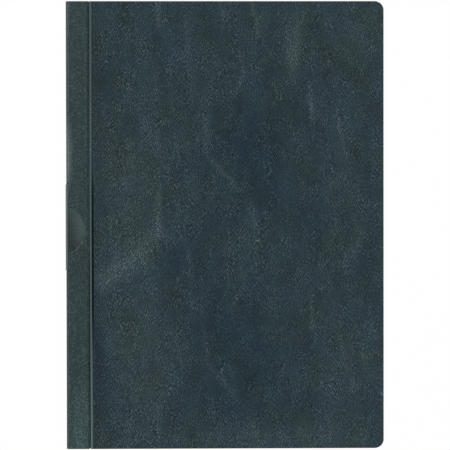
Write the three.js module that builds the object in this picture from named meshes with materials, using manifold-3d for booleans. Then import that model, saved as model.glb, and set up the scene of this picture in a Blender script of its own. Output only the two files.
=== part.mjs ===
// Clip folder for loose sheets, closed and lying on its back cover.
// Millimetres: X runs from the spine to the fore-edge, Y from the foot to the head, Z up from the table.
// Two grained PVC covers are welded to a smooth PVC spine strip. A bent spring-steel clip swings out of a
// window in the spine about a tubular rivet, takes the sheets between its legs and swings back in.
import * as THREE from "three";
import { mergeVertices } from "three/addons/utils/BufferGeometryUtils.js";
import Module from "manifold-3d";

// Covers
const folderWidth = 220;
const folderHeight = 310;
const foreEdgeRadius = 6.2;
const coverThickness = 0.6;
const foreEdgeGap = 0.3;

// Spine strip
const stripThickness = 0.5;
const stripWidth = 16;
const spineInside = 4.4;
const backCreaseRadius = 0.8;
const frontBendRadius = 2.5;
const hingeGrooveWidth = 1.1;
const hingeWebThickness = 0.22;

// Seam where the front cover starts
const hingeGap = 0.3;
const coverDrop = 0.2;
const seamWidth = 1.6;
const seamHeight = 0.35;
const seamShoulderIn = 0.15; // share of the seam's width from its side to its shoulder
const seamShoulderUp = 0.75; // share of the seam's height at its shoulder
const pressedLineWidth = 0.9;
const pressedLineDepth = 0.22;
const hingeClearance = 0.15;

// Clip
const clipThickness = 0.6;
const clipLength = 60.4;
const clipOffset = -1.4;
const clipDepth = 14.6;
const clipProud = 0.45;
const clipTopGap = 0.3;
const clipPinch = 4.5;
const clipLipTurn = 22;
const clipLipRun = 1.8;
const clipLipRadius = 2.4;
const bendCornerRadius = 1;
const freeEndRadius = 7;
const pivotEndRadius = 5;
const toolHoleRadius = 2.7;

// Window in the spine for the clip, and thumb notches in front and behind
const windowGap = 0.65;
const windowDepth = 1.75;
const notchRadius = 17.1;
const notchInset = -4;
const notchOffset = -3;

// Rivet and washer at the clip's pivot
const pivotX = 5.2;
const pivotFromEnd = 4.8;
const shankRadius = 1.25;
const shankClearance = 0.1;
const rivetHeadRadius = 2.6;
const rivetHeadThickness = 0.45;
const rivetBevelShare = 1 / 3; // share of the head's and the roll's height that their bevels take
const rivetRollRadius = 2.1;
const rivetRollHeight = 0.5;
const rivetBore = 0.8;
const rivetFloor = 0.5;
const rivetSinkGap = 0.3;
const washerThickness = 0.4;
const washerRadius = 3.1;
const runningGap = 0.15;

// Facets
const bendStep = THREE.MathUtils.degToRad(7.5);
const roundSteps = 48;
const cornerSteps = 8;
const overrun = 4;

// Heights that follow
const stripBottom = coverThickness;
const stripFloor = stripBottom + stripThickness;
const stripCeiling = stripFloor + spineInside;
const stripTop = stripCeiling + stripThickness;
const clipBottom = stripFloor + washerThickness + runningGap;
const clipTop = stripCeiling - clipTopGap;
const clipBend = (clipTop - clipBottom) / 2;
const coverTop = stripTop - coverDrop;
const coverTopAtForeEdge = 2 * coverThickness + foreEdgeGap;
const seamTop = coverTop + seamHeight;

// Places that follow
const coverStart = stripWidth + hingeGap;
const hingeX = stripWidth + hingeGap / 2;
const hingeZ = Math.max(seamTop, stripTop + hingeClearance);
const clipHead = clipOffset + clipLength / 2;
const clipFoot = clipOffset - clipLength / 2;
const pivotY = clipHead - pivotFromEnd;
const clipSpineX = -clipProud;
const clipEndX = clipSpineX + clipDepth + clipProud;

const manifoldLibrary = await Module();
manifoldLibrary.setup();

// A closed three.js geometry as a solid that can be joined and cut
function toSolid(geometry) {
  const bare = geometry.clone();
  bare.deleteAttribute("normal");
  bare.deleteAttribute("uv");
  const merged = mergeVertices(bare, 1e-4);
  return new manifoldLibrary.Manifold(
    new manifoldLibrary.Mesh({
      numProp: 3,
      vertProperties: new Float32Array(merged.getAttribute("position").array),
      triVerts: new Uint32Array(merged.index.array),
    }),
  );
}

// A solid back as a three.js geometry with flat faces
function toGeometry(solid) {
  const mesh = solid.getMesh();
  const geometry = new THREE.BufferGeometry();
  geometry.setAttribute("position", new THREE.BufferAttribute(mesh.vertProperties, 3));
  geometry.setIndex(new THREE.BufferAttribute(mesh.triVerts, 1));
  const flat = geometry.toNonIndexed();
  flat.computeVertexNormals();
  return flat;
}

// Section of a sheet that is bent along its length, as a shape in the XZ plane. It starts at a point of
// the middle surface with a heading in radians, then follows straight runs and bends. A bend's radius is
// that of the middle surface, and its turn is positive to the left.
function bentSection(startX, startZ, heading, thickness, moves) {
  const leftFace = [];
  const rightFace = [];
  const at = new THREE.Vector2(startX, startZ);
  let angle = heading;
  const step = (distance, direction) => {
    at.x += distance * Math.cos(direction);
    at.y += distance * Math.sin(direction);
  };
  const mark = () => {
    const side = new THREE.Vector2(-Math.sin(angle), Math.cos(angle));
    side.multiplyScalar(thickness / 2);
    leftFace.push(at.clone().add(side));
    rightFace.push(at.clone().sub(side));
  };
  mark();
  for (const move of moves) {
    if (move.turn === undefined) {
      step(move.run, angle);
      mark();
      continue;
    }
    const steps = Math.max(2, Math.ceil(Math.abs(move.turn) / bendStep));
    const part = move.turn / steps;
    for (let count = 0; count < steps; count += 1) {
      step(2 * move.radius * Math.sin(Math.abs(part) / 2), angle + part / 2);
      angle += part;
      mark();
    }
  }
  return new THREE.Shape([...leftFace, ...rightFace.reverse()]);
}

// A shape in the XZ plane carried along Y between two places
function alongY(shape, fromY, toY) {
  const settings = { depth: toY - fromY, bevelEnabled: false, curveSegments: cornerSteps };
  const geometry = new THREE.ExtrudeGeometry(shape, settings);
  geometry.rotateX(Math.PI / 2);
  geometry.translate(0, toY, 0);
  return toSolid(geometry);
}

// A shape in the XY plane carried up between two heights
function upright(shape, fromZ, toZ) {
  const settings = { depth: toZ - fromZ, bevelEnabled: false, curveSegments: cornerSteps };
  const geometry = new THREE.ExtrudeGeometry(shape, settings);
  geometry.translate(0, 0, fromZ);
  return toSolid(geometry);
}

// Rectangle with a radius of its own at each corner, which may be zero
function roundedPlan(lowX, lowY, highX, highY, radii) {
  const shape = new THREE.Shape();
  const corner = (centreX, centreY, radius, fromAngle) => {
    if (radius > 0) {
      shape.absarc(centreX, centreY, radius, fromAngle, fromAngle + Math.PI / 2, false);
    } else {
      shape.lineTo(centreX, centreY);
    }
  };
  const { footSpine = 0, footFore = 0, headFore = 0, headSpine = 0 } = radii;
  shape.moveTo(lowX + footSpine, lowY);
  shape.lineTo(highX - footFore, lowY);
  corner(highX - footFore, lowY + footFore, footFore, -Math.PI / 2);
  shape.lineTo(highX, highY - headFore);
  corner(highX - headFore, highY - headFore, headFore, 0);
  shape.lineTo(lowX + headSpine, highY);
  corner(lowX + headSpine, highY - headSpine, headSpine, Math.PI / 2);
  shape.lineTo(lowX, lowY + footSpine);
  corner(lowX + footSpine, lowY + footSpine, footSpine, Math.PI);
  return shape;
}

function roundBar(centreX, centreY, radius, fromZ, toZ) {
  const geometry = new THREE.CylinderGeometry(radius, radius, toZ - fromZ, roundSteps);
  geometry.rotateX(Math.PI / 2);
  geometry.translate(centreX, centreY, (fromZ + toZ) / 2);
  return toSolid(geometry);
}

function block(lowX, lowY, lowZ, highX, highY, highZ) {
  const geometry = new THREE.BoxGeometry(highX - lowX, highY - lowY, highZ - lowZ);
  geometry.translate((lowX + highX) / 2, (lowY + highY) / 2, (lowZ + highZ) / 2);
  return toSolid(geometry);
}

// Thumb notch, cut through whatever lies between two heights
function thumbNotch(fromZ, toZ) {
  return roundBar(notchInset, notchOffset, notchRadius, fromZ, toZ);
}

// Back cover: one flat sheet under the spine strip, with the rivet's head sunk in a hole of its own
function makeBackCover() {
  const corners = { footFore: foreEdgeRadius, headFore: foreEdgeRadius };
  const outline = roundedPlan(backCreaseRadius, -folderHeight / 2, folderWidth, folderHeight / 2, corners);
  return upright(outline, 0, coverThickness)
    .subtract(thumbNotch(-overrun, stripFloor))
    .subtract(roundBar(pivotX, pivotY, rivetHeadRadius + rivetSinkGap, -overrun, stripFloor));
}

// Spine strip: back flange, tight crease, spine wall, rounded front bend and front face, which thins to a
// web along the hinge. The window lets the clip through, and the notches let thumb and finger reach it.
function makeSpineStrip() {
  const middle = stripThickness / 2;
  const wall = stripTop - stripBottom - backCreaseRadius - frontBendRadius;
  const section = bentSection(stripWidth, stripBottom + middle, Math.PI, stripThickness, [
    { run: stripWidth - backCreaseRadius },
    { radius: backCreaseRadius - middle, turn: -Math.PI / 2 },
    { run: wall },
    { radius: frontBendRadius - middle, turn: -Math.PI / 2 },
    { run: stripWidth - frontBendRadius },
  ]);
  const ends = folderHeight / 2;
  const window = block(
    -overrun, clipFoot - windowGap, stripFloor,
    windowDepth, clipHead + windowGap, stripTop + overrun,
  );
  const groove = block(
    stripWidth - hingeGrooveWidth, -ends - overrun, stripCeiling + hingeWebThickness,
    stripWidth + overrun, ends + overrun, stripTop + overrun,
  );
  return alongY(section, -ends, ends)
    .subtract(window)
    .subtract(groove)
    .subtract(thumbNotch(stripCeiling - clipTopGap / 2, stripTop + overrun))
    .subtract(thumbNotch(-overrun, clipBottom - runningGap))
    .subtract(roundBar(pivotX, pivotY, shankRadius + shankClearance, -overrun, clipBottom));
}

// Front cover: a sheet that falls from the hinge to the fore-edge, with a welded seam along its inner edge
// and a pressed line beside the seam
function makeFrontCover() {
  const length = folderWidth - coverStart;
  const slope = Math.atan2(coverTop - coverTopAtForeEdge, length);
  const section = bentSection(coverStart, coverTop - coverThickness / 2, -slope, coverThickness, [
    { run: length / Math.cos(slope) + overrun },
  ]);
  const ends = folderHeight / 2;
  const lineStart = coverStart + seamWidth;
  const shoulderIn = seamWidth * seamShoulderIn;
  const shoulderTop = coverTop + seamHeight * seamShoulderUp;
  const bead = new THREE.Shape();
  bead.moveTo(coverStart, coverTop - coverThickness / 2);
  bead.lineTo(lineStart, coverTop - coverThickness / 2);
  bead.lineTo(lineStart, coverTop);
  bead.splineThru([
    new THREE.Vector2(lineStart - shoulderIn, shoulderTop),
    new THREE.Vector2((coverStart + lineStart) / 2, seamTop),
    new THREE.Vector2(coverStart + shoulderIn, shoulderTop),
    new THREE.Vector2(coverStart, coverTop),
  ]);
  const pressedLine = new THREE.Shape();
  pressedLine.moveTo(lineStart, coverTop + seamHeight);
  pressedLine.lineTo(lineStart, coverTop - pressedLineDepth);
  pressedLine.lineTo(lineStart + pressedLineWidth, coverTop + seamHeight);
  const corners = { footFore: foreEdgeRadius, headFore: foreEdgeRadius };
  const outline = roundedPlan(coverStart, -ends, folderWidth, ends, corners);
  return alongY(section, -ends, ends)
    .subtract(alongY(pressedLine, -ends - overrun, ends + overrun))
    .add(alongY(bead, -ends, ends))
    .intersect(upright(outline, -overrun, stripTop + overrun));
}

// Clip: spring steel bent into a U. The back leg lies on the rivet's washer, and the front leg leans
// towards it to pinch the sheets, then turns up into a lip that leads them in.
function makeClip() {
  const middle = clipThickness / 2;
  const pinch = THREE.MathUtils.degToRad(clipPinch);
  const lipTurn = THREE.MathUtils.degToRad(clipLipTurn);
  const bendX = clipSpineX + clipBend;
  const lipReach = clipLipRadius * (Math.sin(pinch) + Math.sin(lipTurn - pinch));
  const lipLength = clipLipRun * Math.cos(lipTurn - pinch);
  const frontRun = (clipEndX - bendX - lipReach - lipLength) / Math.cos(pinch);
  const section = bentSection(clipEndX, clipBottom + middle, Math.PI, clipThickness, [
    { run: clipEndX - bendX },
    { radius: clipBend - middle, turn: -(Math.PI + pinch) },
    { run: frontRun },
    { radius: clipLipRadius, turn: lipTurn },
    { run: clipLipRun },
  ]);
  const outline = roundedPlan(clipSpineX - overrun, clipFoot, clipEndX, clipHead, {
    footFore: freeEndRadius,
    headFore: pivotEndRadius,
  });
  const bendOutline = roundedPlan(clipSpineX, clipFoot, clipEndX + overrun, clipHead, {
    footSpine: bendCornerRadius,
    headSpine: bendCornerRadius,
  });
  const middleHeight = (clipBottom + clipTop) / 2;
  return alongY(section, clipFoot - overrun, clipHead + overrun)
    .intersect(upright(outline, -overrun, stripTop + overrun))
    .intersect(upright(bendOutline, -overrun, stripTop + overrun))
    .subtract(roundBar(pivotX, pivotY, shankRadius + shankClearance, 0, middleHeight))
    .subtract(roundBar(pivotX, pivotY, toolHoleRadius, middleHeight, stripTop));
}

// Lathe profile of radius and height pairs, turned to stand along Z
function turned(points) {
  const profile = points.map(([radius, height]) => new THREE.Vector2(radius, height));
  const geometry = new THREE.LatheGeometry(profile, roundSteps);
  geometry.rotateX(Math.PI / 2);
  return toSolid(geometry);
}

// Tubular rivet, from the underside of its flat head at height zero to the rolled rim
const rivetSeat = stripBottom - rivetHeadThickness;
const rollBottom = clipBottom + clipThickness + runningGap - rivetSeat;
const rollTop = rollBottom + rivetRollHeight;
function makeRivet() {
  const bevel = rivetHeadThickness * rivetBevelShare;
  return turned([
    [0, 0],
    [rivetHeadRadius - bevel, 0],
    [rivetHeadRadius, bevel],
    [rivetHeadRadius, rivetHeadThickness],
    [shankRadius, rivetHeadThickness],
    [shankRadius, rollBottom],
    [rivetRollRadius, rollBottom],
    [rivetRollRadius, rollBottom + rivetRollHeight / 2],
    [(rivetRollRadius + rivetBore) / 2 + bevel, rollTop],
    [(rivetRollRadius + rivetBore) / 2 - bevel, rollTop],
    [rivetBore, rollTop - rivetRollHeight * rivetBevelShare],
    [rivetBore, rivetFloor],
    [0, rivetFloor],
  ]);
}

function makeWasher() {
  const bore = shankRadius + shankClearance;
  return turned([
    [bore, 0],
    [washerRadius, 0],
    [washerRadius, washerThickness],
    [bore, washerThickness],
    [bore, 0],
  ]);
}

// Finishes
const grainedPvc = new THREE.MeshStandardMaterial({ color: 0x303e43, roughness: 0.62, metalness: 0 });
const smoothPvc = new THREE.MeshStandardMaterial({ color: 0x344244, roughness: 0.5, metalness: 0 });
const coatedSteel = new THREE.MeshStandardMaterial({ color: 0x3d494a, roughness: 0.38, metalness: 0.2 });
const nickelledSteel = new THREE.MeshStandardMaterial({ color: 0x9a9da0, roughness: 0.32, metalness: 1 });

// A named mesh whose geometry is given from the folder's origin and stored from the mesh's own
function piece(name, solid, material, originX = 0, originY = 0, originZ = 0) {
  const geometry = toGeometry(solid);
  geometry.translate(-originX, -originY, -originZ);
  const mesh = new THREE.Mesh(geometry, material);
  mesh.name = name;
  return mesh;
}

// Spine body: all that stays with the back cover
const spine = new THREE.Group();
const rivet = piece("pivot_rivet", makeRivet(), nickelledSteel);
rivet.position.set(pivotX, pivotY, rivetSeat);
const washer = piece("rivet_washer", makeWasher(), nickelledSteel);
washer.position.set(pivotX, pivotY, stripFloor);
spine.add(piece("back_cover", makeBackCover(), grainedPvc.clone()));
spine.add(piece("spine_strip", makeSpineStrip(), smoothPvc));
spine.add(rivet);
spine.add(washer);

// Front cover turns about the hinge web, along Y at the group's origin
const frontLeaf = new THREE.Group();
frontLeaf.position.set(hingeX, 0, hingeZ);
frontLeaf.add(piece("front_cover", makeFrontCover(), grainedPvc, hingeX, 0, hingeZ));

// Clip turns about the rivet, along Z at the group's origin
const swingClip = new THREE.Group();
swingClip.position.set(pivotX, pivotY, 0);
swingClip.add(piece("clip", makeClip(), coatedSteel, pivotX, pivotY));

// The folder's middle lies over the origin
const group = new THREE.Group();
group.add(spine, frontLeaf, swingClip);
group.position.set(-(folderWidth - clipProud) / 2, 0, 0);

export default group;
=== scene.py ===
import math

import bpy
import numpy as np
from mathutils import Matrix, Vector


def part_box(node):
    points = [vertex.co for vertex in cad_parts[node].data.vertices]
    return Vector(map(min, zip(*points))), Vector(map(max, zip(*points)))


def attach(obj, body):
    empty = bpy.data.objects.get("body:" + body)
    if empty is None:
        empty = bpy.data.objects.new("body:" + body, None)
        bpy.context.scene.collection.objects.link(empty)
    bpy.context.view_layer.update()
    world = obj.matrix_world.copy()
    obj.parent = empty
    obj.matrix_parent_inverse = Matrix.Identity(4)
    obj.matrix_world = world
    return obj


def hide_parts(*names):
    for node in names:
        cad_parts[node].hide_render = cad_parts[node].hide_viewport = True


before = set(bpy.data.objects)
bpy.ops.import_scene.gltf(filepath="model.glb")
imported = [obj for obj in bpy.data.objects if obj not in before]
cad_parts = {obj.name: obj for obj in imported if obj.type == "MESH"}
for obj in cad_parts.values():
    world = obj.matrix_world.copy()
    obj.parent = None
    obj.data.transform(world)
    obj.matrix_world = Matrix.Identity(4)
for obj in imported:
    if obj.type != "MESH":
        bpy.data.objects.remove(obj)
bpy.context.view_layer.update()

# Clip folder seen from straight above: two grained PVC covers, a smooth PVC spine strip and a coated
# spring-steel clip on a tubular rivet. Sizes are in millimetres until a mesh is made.

mm = 0.001


def nodeBox(node):
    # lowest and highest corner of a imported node, in millimetres
    low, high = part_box(node)
    return np.array(low) / mm, np.array(high) / mm


stripLow, stripHigh = nodeBox("spine_strip")
coverLow, coverHigh = nodeBox("front_cover")
clipLow, clipHigh = nodeBox("clip")
rivetLow, rivetHigh = nodeBox("pivot_rivet")
spineX = stripLow[0]                      # the spine's outer face
halfHeight = stripHigh[1]
pivotX, pivotY = (rivetLow[:2] + rivetHigh[:2]) / 2
rivetHoleRadius = 1.35                    # in the strip and in the clip
beyond = 4                                # how far a cutter reaches past what it cuts


# Meshes

def addMesh(name, points, faces, sharpAngle=35):
    # an object from an array of points in millimetres and a list of faces, smooth but for sharp edges
    mesh = bpy.data.meshes.new(name)
    mesh.from_pydata((points * mm).reshape(-1, 3), [], faces)
    mesh.polygons.foreach_set("use_smooth", np.ones(len(mesh.polygons), bool))
    mesh.set_sharp_from_angle(angle=math.radians(sharpAngle))
    mesh.update()
    piece = bpy.data.objects.new(name, mesh)
    bpy.context.scene.collection.objects.link(piece)
    return piece


def closedSheet(name, top, bottom, sharpAngle=35):
    # a sheet between two grids of rows x columns x 3: the faces of both, and a wall of quads round their
    # borders. Columns run to the right of rows as seen from above, so the top faces up.
    rows, columns = top.shape[:2]
    index = np.arange(rows * columns).reshape(rows, columns)
    upper = np.stack([index[:-1, :-1], index[:-1, 1:], index[1:, 1:], index[1:, :-1]], -1).reshape(-1, 4)
    border = np.concatenate([index[0, :-1], index[:-1, -1], index[-1, :0:-1], index[:0:-1, 0]])
    nextOne = np.roll(border, -1)
    count = rows * columns
    lower = upper[:, ::-1] + count
    wall = np.stack([border, border + count, nextOne + count, nextOne], -1)
    points = np.concatenate([top.reshape(-1, 3), bottom.reshape(-1, 3)])
    return addMesh(name, points, np.concatenate([upper, lower, wall]).tolist(), sharpAngle)


def bentFaces(startX, startZ, heading, thickness, moves, stepAngle=math.radians(5)):
    # both faces of a bent sheet's section: straight runs and arcs of the middle surface, one after
    # another, moved half the thickness to each side
    x, z, angle = [np.array([startX])], [np.array([startZ])], [np.array([heading])]
    for length, radius, turn in moves:
        atX, atZ, at = x[-1][-1], z[-1][-1], angle[-1][-1]
        if turn == 0:
            part = np.linspace(0, length, 3)[1:]
            x.append(atX + part * math.cos(at))
            z.append(atZ + part * math.sin(at))
            angle.append(np.full(len(part), at))
        else:
            part = np.linspace(0, turn, max(3, math.ceil(abs(turn) / stepAngle)) + 1)[1:]
            side = math.copysign(1, turn)
            x.append(atX + side * radius * (np.sin(at + part) - math.sin(at)))
            z.append(atZ - side * radius * (np.cos(at + part) - math.cos(at)))
            angle.append(at + part)
    x, z, angle = np.concatenate(x), np.concatenate(z), np.concatenate(angle)
    offset = np.stack([-np.sin(angle), np.cos(angle)], -1) * thickness / 2
    middle = np.stack([x, z], -1)
    return middle + offset, middle - offset


def alongY(name, leftFace, rightFace, rows):
    # a section's two faces carried along Y: each point (x, z) gives (x, y, z) for every y in rows
    def carried(face):
        grid = np.empty((len(rows), len(face), 3))
        grid[..., 0] = face[:, 0]
        grid[..., 1] = rows[:, None]
        grid[..., 2] = face[:, 1]
        return grid
    return closedSheet(name, carried(leftFace), carried(rightFace))


def column(name, levels):
    # a closed column through anticlockwise outlines in plan, each at its height, all with as many points
    count = len(levels[0][0])
    points = np.concatenate([
        np.column_stack([outline, np.full(count, height)]) for outline, height in levels])
    start = np.arange(count * (len(levels) - 1)).reshape(-1, count)
    after = np.roll(start, -1, 1)
    walls = np.stack([start, after, after + count, start + count], -1).reshape(-1, 4).tolist()
    ring = np.arange(count)
    return addMesh(name, points, walls + [ring[::-1].tolist(), (ring + len(points) - count).tolist()])


def prism(name, outline, low, high):
    # the same outline carried straight up from low to high
    return column(name, [(outline, low), (outline, high)])


def circle(centreX, centreY, radius, steps=96):
    # the centre plus the radius times the cosine and sine of even turns, anticlockwise
    turn = np.linspace(0, 2 * math.pi, steps, endpoint=False)
    return np.column_stack([centreX + radius * np.cos(turn), centreY + radius * np.sin(turn)])


def roundedBox(lowX, lowY, highX, highY, radii, steps=12):
    # a rectangle in plan whose corners are quarter circles, from the low corner anticlockwise
    centres = [(lowX, lowY, 1, 1), (highX, lowY, -1, 1), (highX, highY, -1, -1), (lowX, highY, 1, -1)]
    parts = []
    for corner, ((x, y, inX, inY), radius) in enumerate(zip(centres, radii)):
        turn = math.pi + corner * math.pi / 2 + np.linspace(0, math.pi / 2, steps if radius else 1)
        parts.append(np.column_stack([
            x + inX * radius + radius * np.cos(turn),
            y + inY * radius + radius * np.sin(turn),
        ]))
    return np.concatenate(parts)


def applied(piece):
    # the piece with its modifiers made part of its mesh, and the old mesh removed
    shape = piece.evaluated_get(bpy.context.evaluated_depsgraph_get())
    mesh = bpy.data.meshes.new_from_object(shape)
    piece.modifiers.clear()
    old, piece.data = piece.data, mesh
    bpy.data.meshes.remove(old)
    return piece


def cut(piece, tools, keepInside=False):
    # the piece less each tool, or what it shares with each tool
    for tool in tools:
        change = piece.modifiers.new("cut", "BOOLEAN")
        change.operation = "INTERSECT" if keepInside else "DIFFERENCE"
        change.solver = "EXACT"
        change.object = tool
    applied(piece)
    for tool in tools:
        bpy.data.objects.remove(tool)
    return piece


def softened(piece, width, sharpAngle=35):
    # rounds every edge over the sharp angle by a width in millimetres
    soft = piece.modifiers.new("soft edges", "BEVEL")
    soft.width = width * mm
    soft.segments = 2
    soft.limit_method = "ANGLE"
    soft.angle_limit = math.radians(sharpAngle)
    soft.use_clamp_overlap = False
    applied(piece)
    mesh = piece.data
    mesh.polygons.foreach_set("use_smooth", np.ones(len(mesh.polygons), bool))
    mesh.set_sharp_from_angle(angle=math.radians(sharpAngle))
    even = piece.modifiers.new("even flats", "WEIGHTED_NORMAL")
    even.keep_sharp = True
    return applied(piece)


# Materials

def linear(code, alpha=1.0):
    # an sRGB hex code as linear light: a straight line near black, and a power of 2.4 above it
    parts = np.array([int(code[i:i + 2], 16) for i in (1, 3, 5)]) / 255
    light = np.where(parts <= 0.04045, parts / 12.92, ((parts + 0.055) / 1.055) ** 2.4)
    return (*light.tolist(), alpha)


def addNode(tree, kind, settings=None, links=None):
    # a node with its settings, by attribute or by socket, and its links, by input socket
    node = tree.nodes.new(kind)
    for key, value in (settings or {}).items():
        if isinstance(key, str) and hasattr(node, key):
            setattr(node, key, value)
        else:
            node.inputs[key].default_value = value
    for key, output in (links or {}).items():
        tree.links.new(output, node.inputs[key])
    return node


def newMaterial(name):
    # a material with an empty node tree
    material = bpy.data.materials.new(name)
    material.use_nodes = True
    tree = material.node_tree
    tree.nodes.clear()
    return material, tree


def ramp(tree, source, stops):
    # a colour ramp from pairs of place and colour
    node = addNode(tree, "ShaderNodeValToRGB", {}, {0: source})
    band = node.color_ramp
    while len(band.elements) < len(stops):
        band.elements.new(0.5)
    for element, (place, colour) in zip(band.elements, stops):
        element.position = place
        element.color = colour
    return node.outputs["Color"]


def dress(piece, material):
    # the piece's only material
    piece.data.materials.clear()
    piece.data.materials.append(material)


rangeEnds = ("From Min", "From Max", "To Min", "To Max")      # the sockets of a Map Range node
noiseSpread = (0.3, 0.7)      # the values that a noise mostly takes
pvcIor = 1.53


def inMillimetres(tree, wide=1, tall=None, deep=None):
    # object coordinates counted in pattern sizes given in millimetres
    place = addNode(tree, "ShaderNodeTexCoord")
    scale = tuple(1 / mm / size for size in (wide, tall or wide, deep or wide))
    counted = addNode(tree, "ShaderNodeMapping", {"Scale": scale}, {"Vector": place.outputs["Object"]})
    return counted.outputs[0]


# Embossed calendered PVC sheet, dark blue-green: leather grain rolled in while soft. The light that its
# upright creases and pebbles catch is painted into the grain's tones, as painted shade in the creases and
# painted glints on the pebbles. The pressure of the roll and the pigment are uneven, which gives blotches,
# long streaks and patches of bolder grain, and painted sheen is added where the sheet's lie throws light
# back.
grain = {
    # crease to pebble: the grain's own tones, with painted shade in the creases and painted glints on the
    # pebbles
    "crease": "#041219",
    "body": "#1B3138",
    "pebble": "#536064",
    "paintedSheen": "#2E3733",               # painted sheen, added where the sheet's lie throws light back
    # the seam's pale colour: a stress-whitened weld with the painted highlight of its lit bead
    "seam": "#566A6D",
    # painted shadow that the seam's bead casts into the pressed line
    "shade": "#0B1A1E",
    "dashSize": (0.7, 1.15),          # the upright creases, across and along, in millimetres
    "pebbleSize": (1.1, 1.5),
    "pebbleShare": 0.22,
    "ribTurn": (3.6, 2.1, 0.0),       # radians a millimetre of the even rows of short upright ribs
    "ribDrift": (3.0, 4.5, 0.0),      # how far their rows stray, over the next size
    "ribDriftSize": (3.4, 4.8),
    "ribShare": 0.17,
    "sway": (9.0, 5.0, 0.0),          # how far all of the grain strays, over the next size
    "swaySize": 14,
    "reliefMiddle": 0.402,
    "contrast": 1.36,
    "middleTone": 0.488,
    "clusterSize": 9,                 # clusters of bolder grain
    "clusterSpread": (0.35, 0.65),
    "clusterBold": (0.5, 1.3),
    "boldInLight": 1.3,
    "boldAcross": (1.22, 0.95),       # bolder beside the hinge than at the fore-edge
    "patchSize": (13, 30),            # blotches of uneven pigment
    "patchTone": (0.73, 1.3),
    "tintSize": 26,                   # the pigment's cast, as factors of red, green and blue
    "castSpread": (0.4, 0.6),
    "blueCast": (0.972, 1.0, 1.1),
    "greenCast": (1.0, 1.02, 0.955),
    "castAcross": (-0.0003, 0.0003, 0.0),       # bluer towards the foot of the fore-edge
    "byHinge": 0.8,                   # the share of its colour that the sheet keeps beside the seam
    "byHingeReach": 14,
    "knurl": (2.9, 3.9, 0.0),         # radians a millimetre, across and along the pressed line
    "knurlFade": (0.15, 0.6),         # the depths of shade over which the strokes fade out
    "knurlShare": 1.6,
    "bumpHeight": 0.1,
    "roughness": (0.6, 0.44),         # in the creases and on the pebbles
    "specular": (0.26, 0.08),         # on the sheet and in the pressed line
}


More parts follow.
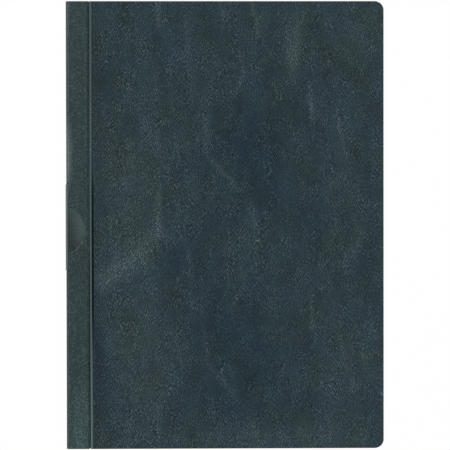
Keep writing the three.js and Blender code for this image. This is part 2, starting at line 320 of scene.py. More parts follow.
def makeGrainedPvc(name, look):
    # the tone follows contrast times boldness times relief, where the relief is creases and ribs less the
    # distance from the pebbles' middles, so that the tone paints the relief's light and shade. Cast and
    # patches multiply it, the painted sheen is added, and the seam's pale colour with its painted highlight
    # and the pressed line's painted shadow lie over it.
    material, tree = newMaterial(name)
    plain = inMillimetres(tree)
    place = addNode(tree, "ShaderNodeSeparateXYZ", {}, {0: plain})
    # marks hold what the sheet's shape knows: red the painted light that its lie throws back, green the
    # seam's paleness and painted highlight, and blue the pressed line's painted shadow
    marks = addNode(tree, "ShaderNodeAttribute", {"attribute_name": "marks"})
    mark = addNode(tree, "ShaderNodeSeparateColor", {}, {0: marks.outputs["Color"]})
    # the upright creases and the pebbles sway a little from place to place
    sway = addNode(tree, "ShaderNodeTexNoise", {"Scale": 1.0, "Detail": 1.0},
                   {"Vector": inMillimetres(tree, look["swaySize"])})
    swayed = addNode(tree, "ShaderNodeVectorMath", {"operation": "MULTIPLY_ADD", 1: look["sway"]},
                     {0: sway.outputs["Color"], 2: plain})
    wide, tall = look["dashSize"]
    upright = addNode(tree, "ShaderNodeVectorMath", {"operation": "DIVIDE", 1: (wide, tall, wide)},
                      {0: swayed.outputs[0]})
    dashes = addNode(tree, "ShaderNodeTexNoise", {"Scale": 1.0, "Detail": 3.0, "Roughness": 0.7},
                     {"Vector": upright.outputs[0]})
    wide, tall = look["pebbleSize"]
    dotted = addNode(tree, "ShaderNodeVectorMath", {"operation": "DIVIDE", 1: (wide, tall, wide)},
                     {0: swayed.outputs[0]})
    pebbles = addNode(tree, "ShaderNodeTexVoronoi", {"feature": "F1", "Scale": 1.0},
                      {"Vector": dotted.outputs[0]})
    # short upright ribs in rows that drift: a sine across times a sine along
    drift = addNode(tree, "ShaderNodeTexNoise", {"Scale": 1.0, "Detail": 1.0},
                    {"Vector": inMillimetres(tree, *look["ribDriftSize"])})
    drifted = addNode(tree, "ShaderNodeVectorMath", {"operation": "MULTIPLY_ADD", 1: look["ribDrift"]},
                      {0: drift.outputs["Color"], 2: swayed.outputs[0]})
    phase = addNode(tree, "ShaderNodeVectorMath", {"operation": "MULTIPLY", 1: look["ribTurn"]},
                    {0: drifted.outputs[0]})
    waved = addNode(tree, "ShaderNodeVectorMath", {"operation": "SINE"}, {0: phase.outputs[0]})
    wave = addNode(tree, "ShaderNodeSeparateXYZ", {}, {0: waved.outputs[0]})
    ribs = addNode(tree, "ShaderNodeMath", {"operation": "MULTIPLY"},
                   {0: wave.outputs["X"], 1: wave.outputs["Y"]})
    # how bold the grain is here: in clusters, bolder by the hinge, and bolder as painted sparkle where the
    # sheet throws light back
    clusters = addNode(tree, "ShaderNodeTexNoise", {"Scale": 1.0, "Detail": 2.0},
                       {"Vector": inMillimetres(tree, look["clusterSize"])})
    bold = addNode(tree, "ShaderNodeMapRange",
                   dict(zip(rangeEnds, (*look["clusterSpread"], *look["clusterBold"]))),
                   {"Value": clusters.outputs["Fac"]})
    bold = addNode(tree, "ShaderNodeMath", {"operation": "MULTIPLY_ADD", 1: look["boldInLight"]},
                   {0: mark.outputs["Red"], 2: bold.outputs[0]})
    across = addNode(tree, "ShaderNodeMapRange",
                     dict(zip(rangeEnds, (coverLow[0], coverHigh[0], *look["boldAcross"]))),
                     {"Value": place.outputs["X"]})
    bold = addNode(tree, "ShaderNodeMath", {"operation": "MULTIPLY"},
                   {0: bold.outputs[0], 1: across.outputs[0]})
    # relief and tone
    both = addNode(tree, "ShaderNodeMath", {"operation": "MULTIPLY_ADD", 1: -look["pebbleShare"]},
                   {0: pebbles.outputs["Distance"], 2: dashes.outputs["Fac"]})
    both = addNode(tree, "ShaderNodeMath", {"operation": "MULTIPLY_ADD", 1: look["ribShare"]},
                   {0: ribs.outputs[0], 2: both.outputs[0]})
    centred = addNode(tree, "ShaderNodeMath", {"operation": "SUBTRACT", 1: look["reliefMiddle"]},
                      {0: both.outputs[0]})
    relief = addNode(tree, "ShaderNodeMath", {"operation": "MULTIPLY"},
                     {0: centred.outputs[0], 1: bold.outputs[0]})
    level = addNode(tree, "ShaderNodeMath",
                    {"operation": "MULTIPLY_ADD", 1: look["contrast"], 2: look["middleTone"]},
                    {0: relief.outputs[0]})
    # the ramp paints shade into the creases and glints onto the pebbles, over the grain's own tones
    tone = ramp(tree, level.outputs[0], [
        (0.0, linear(look["crease"])), (0.5, linear(look["body"])), (1.0, linear(look["pebble"]))])
    # the pigment's cast: from blue to green by a noise and by the place on the sheet
    tint = addNode(tree, "ShaderNodeTexNoise", {"Scale": 1.0, "Detail": 3.0},
                   {"Vector": inMillimetres(tree, look["tintSize"])})
    aslant = addNode(tree, "ShaderNodeVectorMath", {"operation": "DOT_PRODUCT", 1: look["castAcross"]},
                     {0: plain})
    aslant = addNode(tree, "ShaderNodeMath", {"operation": "ADD"},
                     {0: aslant.outputs["Value"], 1: tint.outputs["Fac"]})
    green = addNode(tree, "ShaderNodeMapRange", dict(zip(rangeEnds, look["castSpread"])),
                    {"Value": aslant.outputs[0]})
    cast = addNode(tree, "ShaderNodeMix", {"data_type": "VECTOR", 4: look["blueCast"], 5: look["greenCast"]},
                   {0: green.outputs[0]})
    sheet = addNode(tree, "ShaderNodeVectorMath", {"operation": "MULTIPLY"}, {0: tone, 1: cast.outputs[1]})
    # the patches, and less light beside the seam
    patches = addNode(tree, "ShaderNodeTexNoise", {"Scale": 1.0, "Detail": 5.0, "Roughness": 0.62},
                      {"Vector": inMillimetres(tree, *look["patchSize"])})
    patch = addNode(tree, "ShaderNodeMapRange", dict(zip(rangeEnds, (*noiseSpread, *look["patchTone"]))),
                    {"Value": patches.outputs["Fac"]})
    hingeEnds = (coverLow[0], coverLow[0] + look["byHingeReach"], look["byHinge"], 1.0)
    byHinge = addNode(tree, "ShaderNodeMapRange", dict(zip(rangeEnds, hingeEnds)),
                      {"Value": place.outputs["X"]})
    patch = addNode(tree, "ShaderNodeMath", {"operation": "MULTIPLY"},
                    {0: patch.outputs[0], 1: byHinge.outputs[0]})
    sheet = addNode(tree, "ShaderNodeVectorMath", {"operation": "SCALE"},
                    {0: sheet.outputs[0], "Scale": patch.outputs[0]})
    # painted sheen: the light that the sheet's lie throws back, added to the colour, never below black
    sheet = addNode(tree, "ShaderNodeVectorMath", {"operation": "MULTIPLY_ADD", 1: linear(look["paintedSheen"])[:3]},
                    {0: mark.outputs["Red"], 2: sheet.outputs[0]})
    sheet = addNode(tree, "ShaderNodeVectorMath", {"operation": "MAXIMUM"}, {0: sheet.outputs[0]})
    # the seam's pale colour: stress-whitened weld plus a painted highlight of its lit bead
    withSeam = addNode(tree, "ShaderNodeMix", {"data_type": "RGBA", 7: linear(look["seam"])},
                       {0: mark.outputs["Green"], 6: sheet.outputs[0]})
    # the pressed line's shadow is painted: the weld leaves oblique strokes in it, which drown in the painted
    # shadow beside the clip
    stroke = addNode(tree, "ShaderNodeVectorMath", {"operation": "DOT_PRODUCT", 1: look["knurl"]},
                     {0: swayed.outputs[0]})
    stroke = addNode(tree, "ShaderNodeMath", {"operation": "SINE"}, {0: stroke.outputs["Value"]})
    share = addNode(tree, "ShaderNodeMapRange",
                    dict(zip(rangeEnds, (*look["knurlFade"], look["knurlShare"], 0.0))),
                    {"Value": mark.outputs["Blue"]})
    stroke = addNode(tree, "ShaderNodeMath", {"operation": "MULTIPLY_ADD", 2: 1.0},
                     {0: stroke.outputs[0], 1: share.outputs[0]})
    stroke = addNode(tree, "ShaderNodeMath", {"operation": "MULTIPLY"},
                     {0: mark.outputs["Blue"], 1: stroke.outputs[0]})
    withLine = addNode(tree, "ShaderNodeMix", {"data_type": "RGBA", 7: linear(look["shade"])},
                       {0: stroke.outputs[0], 6: withSeam.outputs[2]})
    bump = addNode(tree, "ShaderNodeBump", {"Strength": 1.0, "Distance": look["bumpHeight"] * mm},
                   {"Height": relief.outputs[0]})
    rough = addNode(tree, "ShaderNodeMapRange", dict(zip(rangeEnds[2:], look["roughness"])),
                    {"Value": level.outputs[0]})
    gloss = addNode(tree, "ShaderNodeMapRange", dict(zip(rangeEnds[2:], look["specular"])),
                    {"Value": mark.outputs["Blue"]})
    shader = addNode(tree, "ShaderNodeBsdfPrincipled", {"IOR": pvcIor},
                     {"Base Color": withLine.outputs[2], "Roughness": rough.outputs[0],
                      "Specular IOR Level": gloss.outputs[0], "Normal": bump.outputs[0]})
    addNode(tree, "ShaderNodeOutputMaterial", {}, {"Surface": shader.outputs[0]})
    return material


# Smooth calendered PVC strip: a satin film with very fine grain and a touch greener. Light and shade are
# painted on it: painted light towards its foot end, where the bowed strip catches more, a painted highlight
# on the spine's rounding beside the clip, and painted shade in the hinge groove and on the spine's bend
smooth = {
    "dark": "#132425",
    "body": "#1F3336",
    "light": "#435556",
    "toneStops": (0.3, 0.5, 0.72),
    "speckSize": (0.9, 1.3),          # finer in real film, drawn as coarse as it needs to show
    "streakSize": (5, 45),
    "streakTone": (0.8, 1.2),
    "footReach": (-95.0, -145.0),     # where along Y the strip turns paler with painted light, and warmer
    "footLightEnd": 1.35,
    "footLightInset": 3,                   # how far from the hinge edge the painted light is strongest
    "warmEnd": (1.09, 1.0, 0.95),
    "grooveShadeReach": (1.25, 1.05),      # from the hinge edge, where the painted shade on the groove's floor starts
    "grooveShade": 0.76,
    "bendShadingReach": (0.2, 1.9),          # from the spine's face, across its rounding
    "paintedBendShading": 0.7,                    # the share of its colour that the strip keeps there, as painted shade on the lit rounding
    # a painted highlight on the spine's rounding just above the clip
    "paintedHighlight": "#7E8988",
    "paintedHighlightShare": 0.22,
    "paintedHighlightCore": 0.3,
    "paintedHighlightPlace": (-109.6, 49),
    "paintedHighlightReach": (6, 32),
    "bumpHeight": 0.03,
    "roughness": (0.5, 0.37),
    "specular": 0.4,
}


def makeSmoothPvc(name, look):
    # the tone of the specks times the streaks, the foot's painted light, the groove's painted shade and the
    # bend's painted shade. It is warmer at the foot, and a painted highlight is mixed in by its distance in
    # an oval.
    material, tree = newMaterial(name)
    place = addNode(tree, "ShaderNodeSeparateXYZ", {}, {0: inMillimetres(tree)})
    specks = addNode(tree, "ShaderNodeTexNoise", {"Scale": 1.0, "Detail": 3.0, "Roughness": 0.65},
                     {"Vector": inMillimetres(tree, *look["speckSize"])})
    streaks = addNode(tree, "ShaderNodeTexNoise", {"Scale": 1.0, "Detail": 4.0, "Roughness": 0.6},
                      {"Vector": inMillimetres(tree, *look["streakSize"])})
    tones = [linear(look[part]) for part in ("dark", "body", "light")]
    tone = ramp(tree, specks.outputs["Fac"], list(zip(look["toneStops"], tones)))
    streak = addNode(tree, "ShaderNodeMapRange", dict(zip(rangeEnds, (*noiseSpread, *look["streakTone"]))),
                     {"Value": streaks.outputs["Fac"]})
    # painted light: paler towards the foot, and more so away from the spine
    pale = addNode(tree, "ShaderNodeMapRange",
                   {"interpolation_type": "SMOOTHSTEP",
                    **dict(zip(rangeEnds, (*look["footReach"], 1.0, look["footLightEnd"])))},
                   {"Value": place.outputs["Y"]})
    inside = addNode(tree, "ShaderNodeMapRange",
                     dict(zip(rangeEnds, (stripLow[0], stripHigh[0] - look["footLightInset"], 1.0))),
                     {"Value": place.outputs["X"], "To Max": pale.outputs[0]})
    pale = addNode(tree, "ShaderNodeMath", {"operation": "MULTIPLY"},
                   {0: pale.outputs[0], 1: inside.outputs[0]})
    # painted shade on the groove's floor
    grooveShadeEnds = [stripHigh[0] - reach for reach in look["grooveShadeReach"]]
    groove = addNode(tree, "ShaderNodeMapRange", dict(zip(rangeEnds, (*grooveShadeEnds, 1.0, look["grooveShade"]))),
                     {"Value": place.outputs["X"]})
    # painted shade on the spine's lit rounding
    bendShadingEnds = [spineX + reach for reach in look["bendShadingReach"]]
    paintedBendShading = addNode(tree, "ShaderNodeMapRange", dict(zip(rangeEnds, (*bendShadingEnds, look["paintedBendShading"], 1.0))),
                     {"Value": place.outputs["X"]})
    level = streak
    for factor in (pale, groove, paintedBendShading):
        level = addNode(tree, "ShaderNodeMath", {"operation": "MULTIPLY"},
                        {0: level.outputs[0], 1: factor.outputs[0]})
    colour = addNode(tree, "ShaderNodeVectorMath", {"operation": "SCALE"},
                     {0: tone, "Scale": level.outputs[0]})
    foot = addNode(tree, "ShaderNodeMapRange", dict(zip(rangeEnds, look["footReach"])),
                   {"Value": place.outputs["Y"]})
    warm = addNode(tree, "ShaderNodeMix", {"data_type": "VECTOR", 4: (1, 1, 1), 5: look["warmEnd"]},
                   {0: foot.outputs[0]})
    colour = addNode(tree, "ShaderNodeVectorMath", {"operation": "MULTIPLY"},
                     {0: colour.outputs[0], 1: warm.outputs[1]})
    # the painted highlight on the spine's rounding, whose distance is counted in its own reach
    reachX, reachY = look["paintedHighlightReach"]
    highlightX, highlightY = look["paintedHighlightPlace"]
    fromHighlight = addNode(tree, "ShaderNodeVectorMath",
                       {"operation": "DISTANCE",
                        1: (highlightX / reachX, highlightY / reachY, stripHigh[2] / reachY)},
                       {0: inMillimetres(tree, reachX, reachY, reachY)})
    paintedHighlight = addNode(tree, "ShaderNodeMapRange",
                      {"interpolation_type": "SMOOTHSTEP",
                       **dict(zip(rangeEnds, (look["paintedHighlightCore"], 1.0, look["paintedHighlightShare"], 0.0)))},
                      {"Value": fromHighlight.outputs["Value"]})
    colour = addNode(tree, "ShaderNodeMix", {"data_type": "RGBA", 7: linear(look["paintedHighlight"])},
                     {0: paintedHighlight.outputs[0], 6: colour.outputs[0]})
    bump = addNode(tree, "ShaderNodeBump", {"Strength": 1.0, "Distance": look["bumpHeight"] * mm},
                   {"Height": specks.outputs["Fac"]})
    rough = addNode(tree, "ShaderNodeMapRange", dict(zip(rangeEnds[2:], look["roughness"])),
                    {"Value": specks.outputs["Fac"]})
    shader = addNode(tree, "ShaderNodeBsdfPrincipled",
                     {"IOR": pvcIor, "Specular IOR Level": look["specular"]},
                     {"Base Color": colour.outputs[2], "Roughness": rough.outputs[0],
                      "Normal": bump.outputs[0]})
    addNode(tree, "ShaderNodeOutputMaterial", {}, {"Surface": shader.outputs[0]})
    return material


# Spring steel strip, dip-coated in grey-green enamel: smooth and a little glossy, with a slight
# orange-peel. Painted light makes its leg paler towards the tip, and a painted highlight lies on its bend
enamel = {
    "dark": "#1C2526",
    "light": "#283334",
    "toneStops": (0.35, 0.65),
    "peelSize": 2.2,
    "speckSize": 0.9,                 # dust in the coat, drawn as coarse as it needs to show
    "speckTone": (0.7, 1.3),
    # painted light that brightens the leg towards its tip
    "paintedLegLight": "#415152",
    "legLightAlong": (1.0, 0.25, 0.0),    # the way in which the painted light on the leg grows, and where it starts and is full
    "legLightReach": (-108.5, -99.5),
    # painted highlight on the clip's bend
    "bend": "#525E5F",
    "bendShadingReach": (-108.3, -109.2),
    "bumpHeight": 0.006,
    "roughness": (0.38, 0.25),
    "ior": 1.5,
    "specular": 0.5,
}


def makeEnamel(name, look):
    # the tone of the orange-peel, mixed with a painted light colour along a slope, times the specks, and then
    # with the bend's painted highlight by the distance across
    material, tree = newMaterial(name)
    plain = inMillimetres(tree)
    place = addNode(tree, "ShaderNodeSeparateXYZ", {}, {0: plain})
    peel = addNode(tree, "ShaderNodeTexNoise", {"Scale": 1.0, "Detail": 3.0},
                   {"Vector": inMillimetres(tree, look["peelSize"])})
    tones = [linear(look[part]) for part in ("dark", "light")]
    tone = ramp(tree, peel.outputs["Fac"], list(zip(look["toneStops"], tones)))
    # painted light that brightens the leg towards its tip
    along = addNode(tree, "ShaderNodeVectorMath", {"operation": "DOT_PRODUCT", 1: look["legLightAlong"]},
                    {0: plain})
    paintedLegLight = addNode(tree, "ShaderNodeMapRange", dict(zip(rangeEnds, look["legLightReach"])),
                   {"Value": along.outputs["Value"]})
    colour = addNode(tree, "ShaderNodeMix", {"data_type": "RGBA", 7: linear(look["paintedLegLight"])},
                     {0: paintedLegLight.outputs[0], 6: tone})
    specks = addNode(tree, "ShaderNodeTexNoise", {"Scale": 1.0, "Detail": 2.0},
                     {"Vector": inMillimetres(tree, look["speckSize"])})
    uneven = addNode(tree, "ShaderNodeMapRange", dict(zip(rangeEnds, (*noiseSpread, *look["speckTone"]))),
                     {"Value": specks.outputs["Fac"]})
    colour = addNode(tree, "ShaderNodeVectorMath", {"operation": "SCALE"},
                     {0: colour.outputs[2], "Scale": uneven.outputs[0]})
    # the bend's painted highlight
    paintedBendShading = addNode(tree, "ShaderNodeMapRange", dict(zip(rangeEnds, look["bendShadingReach"])),
                     {"Value": place.outputs["X"]})
    colour = addNode(tree, "ShaderNodeMix", {"data_type": "RGBA", 7: linear(look["bend"])},
                     {0: paintedBendShading.outputs[0], 6: colour.outputs[0]})
    bump = addNode(tree, "ShaderNodeBump", {"Strength": 1.0, "Distance": look["bumpHeight"] * mm},
                   {"Height": peel.outputs["Fac"]})
    rough = addNode(tree, "ShaderNodeMapRange", dict(zip(rangeEnds[2:], look["roughness"])),
                    {"Value": peel.outputs["Fac"]})
    shader = addNode(tree, "ShaderNodeBsdfPrincipled",
                     {"IOR": look["ior"], "Specular IOR Level": look["specular"]},
                     {"Base Color": colour.outputs[2], "Roughness": rough.outputs[0],
                      "Normal": bump.outputs[0]})
    addNode(tree, "ShaderNodeOutputMaterial", {}, {"Surface": shader.outputs[0]})
    return material


# Nickel-plated steel of the rivet and washer: bright, with fine marks from the tool
nickel = {
    "dark": "#8F9294",
    "light": "#B9BBBA",
    "markSize": 0.7,      # the tool's marks, drawn as coarse as they need to show
    "bumpHeight": 0.01,
    "bumpStrength": 0.4,
    "roughness": (0.2, 0.42),
}


def makeNickel(name, look):
    # tone, roughness and bump all follow one fine noise
    material, tree = newMaterial(name)
    marks = addNode(tree, "ShaderNodeTexNoise", {"Scale": 1.0, "Detail": 4.0},
                    {"Vector": inMillimetres(tree, look["markSize"])})
    tones = [linear(look[part]) for part in ("dark", "light")]
    tone = ramp(tree, marks.outputs["Fac"], list(zip(noiseSpread, tones)))
    rough = addNode(tree, "ShaderNodeMapRange", dict(zip(rangeEnds[2:], look["roughness"])),
                    {"Value": marks.outputs["Fac"]})
    bump = addNode(tree, "ShaderNodeBump",
                   {"Strength": look["bumpStrength"], "Distance": look["bumpHeight"] * mm},
                   {"Height": marks.outputs["Fac"]})
    shader = addNode(tree, "ShaderNodeBsdfPrincipled", {"Metallic": 1.0},
                     {"Base Color": tone, "Roughness": rough.outputs[0], "Normal": bump.outputs[0]})
    addNode(tree, "ShaderNodeOutputMaterial", {}, {"Surface": shader.outputs[0]})
    return material


grainedPvc = makeGrainedPvc("embossed_pvc", grain)
smoothPvc = makeSmoothPvc("calendered_pvc", smooth)
coatedSteel = makeEnamel("enamelled_spring_steel", enamel)
platedSteel = makeNickel("nickel_plated_steel", nickel)
print("materials made")


# Front cover: a grained sheet that falls from the seam to the fore-edge and lies a little uneven
cover = {
    "thickness": 0.6,
    "cornerRadius": 6.2,
    "cornerRows": 14,
    "cornerPull": 40,         # the stretch beside the fore-edge that is drawn in at the corners
    "edgeRoll": 0.16,
    "overlap": 0.22,          # the seam's lip, which closes most of the hinge gap
    "seamWidth": 1.8,
    "seamHeight": 0.35,
    "seamColumns": 22,
    "seamSteep": 2.2,         # how fast the seam turns pale from its borders, with a painted highlight of its lit bead
    "seamPale": 0.45,         # how pale it is, a stress-whitened weld with a painted highlight, and how much paler at the foot
    "seamPaleByFoot": 0.5,
    "lineWidth": 0.95,
    "lineDepth": 0.09,
    "lineDepthByClip": 0.39,
    "lineMiddle": -21,        # the stretch that the clip pushes up, as Y and half length
    "lineReach": 58,
    "pastLine": (0.25, 0.7, 0.9),      # the first columns past the pressed line
    "shadeOnSeam": 0.5,       # how far up the seam the line's painted shadow starts
    "shadeSteep": 2,
    "shadeFarFromClip": 0.15,
    "bow": 0.12,              # how far the hinge edge stands off the strip at the clip
    "bowByFoot": 0.43,        # and how much more at the foot and at the head
    "bowByHead": 0.2,
    "bowMiddle": 0.1,         # as a share of half the height
    "bowReach": 60,
    "dropToForeEdge": 4.3,
    "creaseHeight": 0.17,
    "heldBySeam": 30,         # the stretch beside the seam over which waves and creases grow
    "columnStep": 1.35,
    "rowStep": 1.35,
}
rollSteps = np.array([0, 0.1, 0.35, 0.65])      # where columns stand on a rolled edge, as shares of it

# long waves of the sheet: height, reach in X, reach in Y and start of one sine, reach in Y and start of
# the other
longWaves = [
    (0.05, 31, math.inf, 0.7, 44, 0.4),
    (0.035, 13.7, 71, 1.1, 37, -0.8),
]

# creases of the sheet, which raise it and add painted sheen: start, end, half width and strength
creases = [
    (-89, -44, -70, -26, 7, 0.64),
    (-73, -29, -53, -14, 7, 0.46),
    (-55, -15, -42, -1, 6.5, 0.32),
    (-45, -5, -46, 23, 2.6, 0.3),
    (48, 133, 48, 103, 5, 0.5),
    (48, 131, 56, 149, 4, 0.3),
    (71, 23, 84, 39, 3, 0.2),
    (89, 7, 95, -10, 3, 0.2),
    (95, -10, 80, -30, 3, 0.2),
]

# faint lines that the grain roller leaves once a turn, painted as sheen: start, end, half width and strength
rollerMarks = [
    (-46, 169, -46, 137, 1.4, 0.35),
    (-47, 67, -46, 44, 1.6, 0.3),
    (-27, 146, -23, 89, 1.4, 0.22),
    (11, 120, 13, 103, 1.6, 0.3),
    (13, 103, 5, 88, 1.6, 0.35),
    (-14, 74, -12, 48, 1.8, 0.3),
    (-12, 49, 8, 26, 1.8, 0.35),
    (16, 17, 22, -1, 1.8, 0.3),
    (23, -1, 23, -15, 1.8, 0.25),
    (59, 98, 61, 71, 1.4, 0.45),
    (78, 78, 84, 45, 1.5, 0.4),
]
rollerTurn = 145.4
rollerTurns = range(-1, 3)      # counted from the turn that the list gives, towards the foot
rollerStrength = 1.2
rollerFade = 0.22               # the share of strength that the lines lose from one turn to the next

# painted sheen and painted shade where the sheet lies a little higher or lower, which only the colour
# shows: middle, reach and strength
paintedSwells = [
    (-66, 24, 17, 42, 0.22),
    (-58, -99, 23, 54, 0.26),
    (16, 50, 27, 44, -0.22),
    (8, -87, 25, 44, -0.22),
    (-34, -21, 10, 14, -0.2),
    (94, 135, 17, 24, 0.2),
    (87, -108, 26, 46, 0.2),
    (39, -148, 70, 11, 0.33),
    (84, 30, 34, 90, 0.11),
    (56, 7, 14, 14, -0.12),
    (-87, -97, 7, 24, -0.2),
    (-66, 121, 28, 35, -0.08),
]


def bellLine(x, y, startX, startY, endX, endY, width):
    # a bell curve across the line from start to end, times a flat-topped one along it
    runX, runY = endX - startX, endY - startY
    length = math.hypot(runX, runY)
    part = ((x - startX) * runX + (y - startY) * runY) / length ** 2
    across = ((x - startX) * runY - (y - startY) * runX) / length
    return np.exp(-((part - 0.5) / 0.5) ** 4 - (across / width) ** 2)


def lieOfSheet(x, y, look):
    # how high the thin sheet lies and how much painted light it throws back. The height is long sines plus
    # the creases, and fades to nothing at the seam. The painted light is the creases, the roller's lines and
    # swells, which are round bell curves.
    waves, light = np.zeros(x.shape), np.zeros(x.shape)
    for height, acrossX, acrossY, start, along, alongStart in longWaves:
        waves += height * np.sin(x / acrossX + y / acrossY + start) * np.sin(y / along + alongStart)
    for *ends, width, strength in creases:
        shape = strength * bellLine(x, y, *ends, width)
        waves += look["creaseHeight"] * shape
        light += shape
    for turn in rollerTurns:
        down = turn * rollerTurn
        for startX, startY, endX, endY, width, strength in rollerMarks:
            shown = strength * rollerStrength * (1 - rollerFade * turn)
            light += shown * bellLine(x, y, startX, startY - down, endX, endY - down, width)
    for middleX, middleY, reachX, reachY, strength in paintedSwells:
        light += strength * np.exp(-((x - middleX) / reachX) ** 2 - ((y - middleY) / reachY) ** 2)
    return waves * np.clip((x - coverLow[0]) / look["heldBySeam"], 0, 1), light


def makeFrontCover(look):
    # a grid of columns and rows, drawn in round the fore-edge's corners. Its top is a straight fall, plus
    # half an ellipse for the seam, less half a sine for the pressed line, plus the sheet's lie, less a
    # quarter circle along the outline. Its underside runs one thickness below.
    roll, radius = look["edgeRoll"], look["cornerRadius"]
    lowX, highX = coverLow[0] - look["overlap"], coverHigh[0]
    seamEnd = coverLow[0] + look["seamWidth"]
    lineEnd = seamEnd + look["lineWidth"]
    *pastLine, evenStart = lineEnd + np.array(look["pastLine"])
    evenColumns = int((highX - evenStart) / look["columnStep"]) + 1
    columns = np.concatenate([
        lowX + roll * rollSteps,
        np.linspace(lowX + roll, lineEnd, look["seamColumns"]),
        pastLine,
        np.linspace(evenStart + roll, highX - roll, evenColumns),
        highX - roll * rollSteps[::-1],
    ])
    straight = halfHeight - radius
    evenRows = int(2 * straight / look["rowStep"])
    # the rows of the corner, less the last few, where the rolled edge has its own
    corner = straight + radius * np.sin(np.linspace(0, math.pi / 2, look["cornerRows"]))[1:-len(rollSteps)]
    side = np.concatenate([corner, [halfHeight - roll], halfHeight - roll * rollSteps[::-1]])
    rows = np.concatenate([-side[::-1], np.linspace(-straight, straight, evenRows), side])
    x, y = np.meshgrid(columns, rows)
    # the far part is drawn in to follow the rounded corners
    into = np.clip(np.abs(y) - straight, 0, radius)
    drawn = radius - np.sqrt(np.maximum(radius ** 2 - into ** 2, 0))
    x = x - drawn * np.clip((x - (highX - look["cornerPull"])) / look["cornerPull"], 0, 1)
    # distance to the outline, for the rolled edge
    outX, outY = x - (highX - radius), np.abs(y) - straight
    toCorner = radius - np.hypot(np.maximum(outX, 0), np.maximum(outY, 0))
    toSides = np.minimum(np.minimum(x - lowX, highX - x), halfHeight - np.abs(y))
    near = np.clip(1 - np.where((outX > 0) & (outY > 0), toCorner, toSides) / roll, 0, 1)
    rolled = roll * (1 - np.sqrt(np.maximum(1 - near ** 2, 0)))
    # seam and pressed line, which the clip underneath deepens
    top = coverHigh[2] - look["seamHeight"] - look["dropToForeEdge"] * (x - lowX) / (highX - lowX)
    across = np.clip((x - lowX) / (seamEnd - lowX), 0, 1)
    seam = look["seamHeight"] * np.sqrt(np.maximum(1 - (2 * across - 1) ** 2, 0)) * (x < seamEnd)
    inLine = np.clip((x - seamEnd) / look["lineWidth"], 0, 1)
    byClip = np.exp(-np.abs((y - look["lineMiddle"]) / look["lineReach"]) ** 6)
    pressed = (look["lineDepth"] + look["lineDepthByClip"] * byClip) * np.sin(math.pi * inLine)
    waves, light = lieOfSheet(x, y, look)
    # the hinge edge stands off the strip, most of all at the foot
    toFoot = np.clip(look["bowMiddle"] - y / halfHeight, 0, 1)
    toHead = np.clip(y / halfHeight - look["bowMiddle"], 0, 1)
    bow = look["bow"] + look["bowByFoot"] * toFoot + look["bowByHead"] * toHead
    x = x + bow * np.clip(1 - (x - lowX) / look["bowReach"], 0, 1)
    upper = np.stack([x, y, top + seam - pressed + waves - rolled], -1)
    lower = np.stack([x, y, top - look["thickness"] + waves + rolled], -1)
    piece = closedSheet("front_cover_sheet", upper, lower)
    # what the material is told: painted light, the seam's paleness with its painted highlight and the line's
    # painted shadow, each half a sine across cut off at 1
    pale = look["seamPale"] + look["seamPaleByFoot"] * toFoot ** 2
    onSeam = np.clip(look["seamSteep"] * np.sin(math.pi * across), 0, 1) * (across < 1) * pale
    pastSeam = np.clip((x - seamEnd + look["shadeOnSeam"]) / (look["lineWidth"] + look["shadeOnSeam"]), 0, 1)
    deep = look["shadeFarFromClip"] + (1 - look["shadeFarFromClip"]) * byClip
    inShade = np.clip(look["shadeSteep"] * np.sin(math.pi * pastSeam), 0, 1) * deep
    marks = np.stack([light, onSeam, inShade, np.ones(x.shape)], -1).reshape(-1, 4)
    marks = np.concatenate([marks, np.zeros(marks.shape)])
    piece.data.attributes.new("marks", "FLOAT_COLOR", "POINT").data.foreach_set("color", marks.ravel())
    return piece


frontCover = makeFrontCover(cover)
dress(frontCover, grainedPvc)
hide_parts("front_cover")
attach(frontCover, "cover")
print("front cover made")


# Spine strip: smooth PVC folded round the spine, cut for the clip, the thumb and a finger
strip = {
    "thickness": 0.5,
    "creaseRadius": 0.8,
    "bendRadius": 2.5,
    "grooveWidth": 1.1,
    "webThickness": 0.22,
    "windowDepth": 1.75,
    "windowGap": 0.65,
    "windowCorner": 0.3,
    "windowFloor": 0.93,      # height over the strip's underside, just above the lower fold
    "notchRadius": 17.1,
    "notchInset": -4,
    "notchOffset": -3,
    "notchChamfer": 0.4,
    "notchSteps": 160,
    "margin": 0.15,           # how far a cutter stands clear of the wall that it goes through
    "softEdge": 0.12,
}


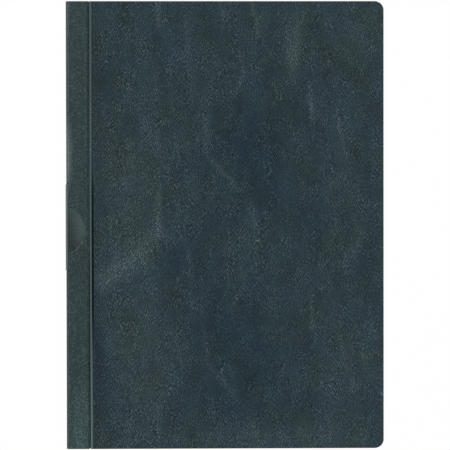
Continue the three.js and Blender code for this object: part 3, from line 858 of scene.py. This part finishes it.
def makeSpineStrip(look):
    # a section of straight runs and quarter bends carried along the spine, less the clip's window, the
    # hinge groove, the thumb notch with its chamfer, the finger notch and the rivet's hole
    thickness, crease, bend = look["thickness"], look["creaseRadius"], look["bendRadius"]
    width, tall = stripHigh[0] - stripLow[0], stripHigh[2] - stripLow[2]
    left, right = bentFaces(stripHigh[0], stripLow[2] + thickness / 2, math.pi, thickness, [
        (width - crease, 0, 0),
        (0, crease - thickness / 2, -math.pi / 2),
        (tall - crease - bend, 0, 0),
        (0, bend - thickness / 2, -math.pi / 2),
        (width - bend, 0, 0),
    ])
    piece = alongY("spine_strip_sheet", left, right, np.linspace(-halfHeight, halfHeight, 3))
    floorTop, ceiling = stripLow[2] + thickness, stripHigh[2] - thickness
    above = stripHigh[2] + beyond
    corner, chamfer, margin = look["windowCorner"], look["notchChamfer"], look["margin"]
    window = roundedBox(spineX - beyond, clipLow[1] - look["windowGap"], spineX + look["windowDepth"],
                        clipHigh[1] + look["windowGap"], (0, corner, corner, 0))
    groove = roundedBox(stripHigh[0] - look["grooveWidth"], -halfHeight - beyond, stripHigh[0] + beyond,
                        halfHeight + beyond, (0, 0, 0, 0))
    notch, wideNotch = [
        circle(spineX + look["notchInset"], look["notchOffset"], radius, look["notchSteps"])
        for radius in (look["notchRadius"], look["notchRadius"] + chamfer)
    ]
    return cut(piece, [
        prism("window", window, stripLow[2] + look["windowFloor"], above),
        prism("groove", groove, ceiling + look["webThickness"], above),
        column("thumb", [(notch, ceiling - margin), (notch, stripHigh[2] - chamfer / 2),
                         (wideNotch, stripHigh[2]), (wideNotch, above)]),
        prism("finger", notch, -beyond, floorTop + margin),
        prism("rivetHole", circle(pivotX, pivotY, rivetHoleRadius), -beyond, floorTop + 2 * margin),
    ])


spineStrip = softened(makeSpineStrip(strip), strip["softEdge"])
dress(spineStrip, smoothPvc)
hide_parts("spine_strip")
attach(spineStrip, "spine")
print("spine strip made")


# Clip: enamelled spring steel bent into a U, with a pinch and a turned-up lip
clip = {
    "thickness": 0.6,
    "pinch": math.radians(4.5),
    "lipTurn": math.radians(22),
    "lipRun": 1.8,
    "lipRadius": 2.4,
    "bendCorner": 1,
    "freeCorner": 7,
    "pivotCorner": 5,
    "cornerSteps": 20,
    "toolHole": 2.7,
    "softEdge": 0.1,
}


def makeClip(look):
    # a section of two legs, a bend of half a turn and the pinch, and a lip that turns back up. Carried
    # along the spine it keeps what lies in the rounded outline, less the rivet's hole and the tool's.
    thickness, pinch, lip = look["thickness"], look["pinch"], look["lipTurn"]
    bend = (clipHigh[2] - clipLow[2]) / 2
    leg = clipHigh[0] - clipLow[0] - bend
    lipReach = look["lipRadius"] * (math.sin(pinch) + math.sin(lip - pinch))
    lipReach += look["lipRun"] * math.cos(lip - pinch)
    left, right = bentFaces(clipHigh[0], clipLow[2] + thickness / 2, math.pi, thickness, [
        (leg, 0, 0),
        (0, bend - thickness / 2, -(math.pi + pinch)),
        ((leg - lipReach) / math.cos(pinch), 0, 0),
        (0, look["lipRadius"], lip),
        (look["lipRun"], 0, 0),
    ])
    rows = np.linspace(clipLow[1] - beyond, clipHigh[1] + beyond, 3)
    piece = alongY("clip_spring", left, right, rows)
    corners = (look["bendCorner"], look["freeCorner"], look["pivotCorner"], look["bendCorner"])
    outline = roundedBox(*clipLow[:2], *clipHigh[:2], corners, look["cornerSteps"])
    above = clipHigh[2] + beyond
    cut(piece, [prism("outline", outline, -beyond, above)], keepInside=True)
    middle = (clipLow[2] + clipHigh[2]) / 2
    return cut(piece, [
        prism("shank", circle(pivotX, pivotY, rivetHoleRadius), 0, middle),
        prism("tool", circle(pivotX, pivotY, look["toolHole"]), middle, above),
    ])


springClip = softened(makeClip(clip), clip["softEdge"])
dress(springClip, coatedSteel)
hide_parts("clip")
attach(springClip, "clip")
print("clip made")


# Nodes that keep their own shape
dress(bpy.data.objects["back_cover"], grainedPvc)
dress(bpy.data.objects["pivot_rivet"], platedSteel)
dress(bpy.data.objects["rivet_washer"], platedSteel)
print("other nodes dressed")


# Floor, light and camera
stage = {
    "floor": "#F4F4F3",
    "floorGlow": 0.97,
    "floorReach": 3000,
    "floorDrop": 0.05,
    "worldStrength": 0.35,
    "key": (88, 1.4, (-2.1, 1.5, 1.9)),       # watts, then size and place in metres
    "fill": (23, 2.4, (2.2, -1.6, 2.4)),
    "lens": 200,
    "sensorWidth": 36,
    "frameWidth": 311.7,
    "tilt": math.radians(1.1),      # the camera stands a little towards the head end
    "roll": math.radians(-0.09),
    "sight": (0.25, 0.15, 4),       # where the camera looks
}


def makeFloor(look):
    # one square just under the folder: matt paper that lights it, and a share of plain white where it is
    # seen, mirrored or looked through to
    reach = look["floorReach"]
    outline = np.array([(-reach, -reach), (reach, -reach), (reach, reach), (-reach, reach)], float)
    floor = addMesh("floor", np.column_stack([outline, np.full(4, -look["floorDrop"])]), [[0, 1, 2, 3]])
    material, tree = newMaterial("matt_paper_floor")
    path = addNode(tree, "ShaderNodeLightPath")
    seen = addNode(tree, "ShaderNodeMath", {"operation": "ADD", "use_clamp": True},
                   {0: path.outputs["Is Camera Ray"], 1: path.outputs["Is Glossy Ray"]})
    seen = addNode(tree, "ShaderNodeMath", {"operation": "ADD", "use_clamp": True},
                   {0: seen.outputs[0], 1: path.outputs["Is Transmission Ray"]})
    share = addNode(tree, "ShaderNodeMath", {"operation": "MULTIPLY", 1: look["floorGlow"]},
                    {0: seen.outputs[0]})
    paper = addNode(tree, "ShaderNodeBsdfDiffuse", {"Color": linear(look["floor"])})
    glow = addNode(tree, "ShaderNodeEmission", {"Color": (1, 1, 1, 1), "Strength": 1.0})
    both = addNode(tree, "ShaderNodeMixShader", {},
                   {0: share.outputs[0], 1: paper.outputs[0], 2: glow.outputs[0]})
    addNode(tree, "ShaderNodeOutputMaterial", {}, {"Surface": both.outputs[0]})
    dress(floor, material)


def addLamp(name, power, size, place):
    # a square area lamp, tipped and turned by the angles of its place so that it faces the origin
    lamp = bpy.data.lights.new(name, "AREA")
    lamp.energy = power
    lamp.size = size
    holder = bpy.data.objects.new(name, lamp)
    x, y, z = place
    holder.location = place
    holder.rotation_euler = (math.atan2(math.hypot(x, y), z), 0, math.atan2(x, -y))
    bpy.context.scene.collection.objects.link(holder)


def addCamera(look):
    # straight above but for the tilt, as far off as the lens needs to see the frame's width
    camera = bpy.data.objects.new("above", bpy.data.cameras.new("above"))
    camera.data.lens = look["lens"]
    camera.data.sensor_width = look["sensorWidth"]
    distance = look["frameWidth"] * look["lens"] / look["sensorWidth"] * mm
    x, y, z = np.array(look["sight"]) * mm
    camera.location = (x, y + distance * math.sin(look["tilt"]), z + distance * math.cos(look["tilt"]))
    camera.rotation_euler = (-look["tilt"], 0, look["roll"])
    bpy.context.scene.collection.objects.link(camera)
    bpy.context.scene.camera = camera


makeFloor(stage)
addLamp("key", *stage["key"])
addLamp("fill", *stage["fill"])
addCamera(stage)
world = bpy.data.worlds.new("studio")
world.use_nodes = True
backdrop = world.node_tree.nodes["Background"]
backdrop.inputs["Color"].default_value = (1, 1, 1, 1)
backdrop.inputs["Strength"].default_value = stage["worldStrength"]
bpy.context.scene.world = world
bpy.context.scene.view_settings.view_transform = "Standard"
print("stage made")
